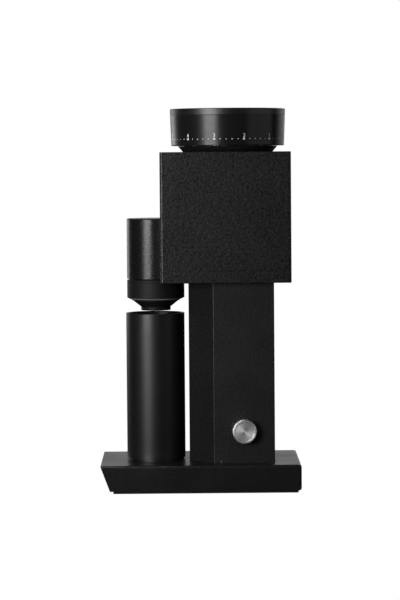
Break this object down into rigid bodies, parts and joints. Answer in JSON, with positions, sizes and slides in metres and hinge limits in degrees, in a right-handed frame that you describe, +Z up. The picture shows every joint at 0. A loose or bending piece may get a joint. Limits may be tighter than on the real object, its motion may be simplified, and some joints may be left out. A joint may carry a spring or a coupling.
{
  "type": "coffee grinder",
  "caption": "Upright coffee grinder with a square burr head on a chamfered column, a numbered adjusting dial, a side chute over a tall cup, and a steel speed knob.",
  "frame": {"origin": "centre of the rubber pad's underside, on the surface that the grinder stands on, midway along and across the base", "axes": "+Z up, +X to the rear where the column and power inlet are, -X to the user where the cup stands; the speed knob is on the -Y side"},
  "size_m": [0.203, 0.13, 0.3879],
  "materials": {
    "base_coat": "satin black powder coat, very smooth",
    "body_coat": "black anodised over a fine bead blast, matte with a slight sparkle",
    "dial_black": "black anodised over fine turning, satin",
    "seat_black": "matte black anodised",
    "chute_black": "black anodised over a bead blast, satin",
    "collar_black": "black anodised, smooth satin",
    "cup_black": "soft satin black coat",
    "knob_steel": "turned bright steel",
    "mark_white": "white printed marks",
    "steel": "plain machined steel",
    "burr_steel": "ground tool steel",
    "core_steel": "laminated steel",
    "magnet_nickel": "nickel plated",
    "raw_aluminium": "machined aluminium",
    "winding_copper": "enamelled copper wire",
    "black_rubber": "matte rubber",
    "board_green": "coated circuit board",
    "black_plastic": "moulded plastic",
    "bearing_plastic": "low-friction plastic",
    "pin_brass": "plated brass"
  },
  "bodies": {
    "stand": {"base_plate": "base_coat", "foot_pad": "black_rubber", "base_screws": "steel", "cup_magnets": "magnet_nickel", "column_shell": "body_coat", "column_foot": "raw_aluminium", "column_grub_screw": "steel", "tie_rods": "steel", "rear_panel": "body_coat", "rear_panel_screws": "steel", "power_inlet": "black_plastic", "inlet_pins": "pin_brass", "control_board": "board_green", "board_standoffs": "pin_brass", "board_parts": "black_plastic", "heat_sink": "raw_aluminium", "encoder_body": "black_plastic", "motor_can": "raw_aluminium", "motor_front_bell": "raw_aluminium", "motor_rear_bell": "raw_aluminium", "motor_bolts": "steel", "motor_bearings": "steel", "stator_core": "core_steel", "stator_windings": "winding_copper", "head_shell": "body_coat", "head_bottom_plate": "raw_aluminium", "head_screws": "steel", "burr_housing": "raw_aluminium", "port_gasket": "black_rubber", "housing_studs": "steel", "main_bearing": "steel", "shaft_seal": "black_rubber", "carrier_keys": "steel", "preload_spring": "steel", "dial_seat": "seat_black", "thrust_washers": "bearing_plastic", "chute_body": "chute_black", "chute_cap": "chute_black"},
    "dial": {"dial_ring": "dial_black", "dial_sleeve": "raw_aluminium", "dial_screws": "steel", "bean_funnel": "black_plastic"},
    "lid": {"hopper_lid": "dial_black", "lid_gasket": "black_rubber"},
    "upper_burr_set": {"upper_burr_carrier": "raw_aluminium", "upper_burr": "burr_steel", "upper_burr_screws": "steel"},
    "spindle": {"drive_shaft": "steel", "rotor_core": "core_steel", "rotor_magnets": "magnet_nickel", "lower_burr_carrier": "raw_aluminium", "lower_burr": "burr_steel", "lower_burr_screws": "steel", "feed_auger": "raw_aluminium"},
    "spout": {"chute_collar": "collar_black", "spout_funnel": "collar_black"},
    "cup": {"cup": "cup_black"},
    "encoder_spindle": {"encoder_rotor": "steel"},
    "knob": {"knob": "knob_steel", "knob_shaft": "steel"}
  },
  "joints": [
    {"name": "dial_turn", "type": "hinge", "parent": "stand", "child": "dial", "pos_m": [0.0302, 0, 0.366], "axis": [0, 0, 1], "range_deg": [-165, 165]},
    {"name": "burr_feed", "type": "slide", "parent": "stand", "child": "upper_burr_set", "axis": [0, 0, 1], "range_m": [-0.0007, 0.0007], "deforming": ["preload_spring"]},
    {"name": "lid_lift", "type": "slide", "parent": "dial", "child": "lid", "axis": [0, 0, 1], "range_m": [0, 0.06]},
    {"name": "spindle_spin", "type": "hinge", "parent": "stand", "child": "spindle", "pos_m": [0.0302, 0, 0.24], "axis": [0, 0, 1], "continuous": true},
    {"name": "spout_twist", "type": "hinge", "parent": "stand", "child": "spout", "pos_m": [-0.0448, 0, 0.2], "axis": [0, 0, 1], "range_deg": [0, 60]},
    {"name": "cup_slide", "type": "slide", "parent": "stand", "child": "cup", "axis": [-1, 0, 0], "range_m": [0, 0.13]},
    {"name": "knob_turn", "type": "hinge", "parent": "stand", "child": "encoder_spindle", "pos_m": [0.0445, -0.05, 0.0611], "axis": [0, 1, 0], "range_deg": [-150, 150]},
    {"name": "knob_press", "type": "slide", "parent": "encoder_spindle", "child": "knob", "axis": [0, 1, 0], "range_m": [0, 0.0012], "stiffness_N_per_m": 2500, "springref_m": -0.0006}
  ],
  "couplings": [
    {"joint": "burr_feed", "follows": "dial_turn", "m_per_rad": 0.00023873}
  ]
}
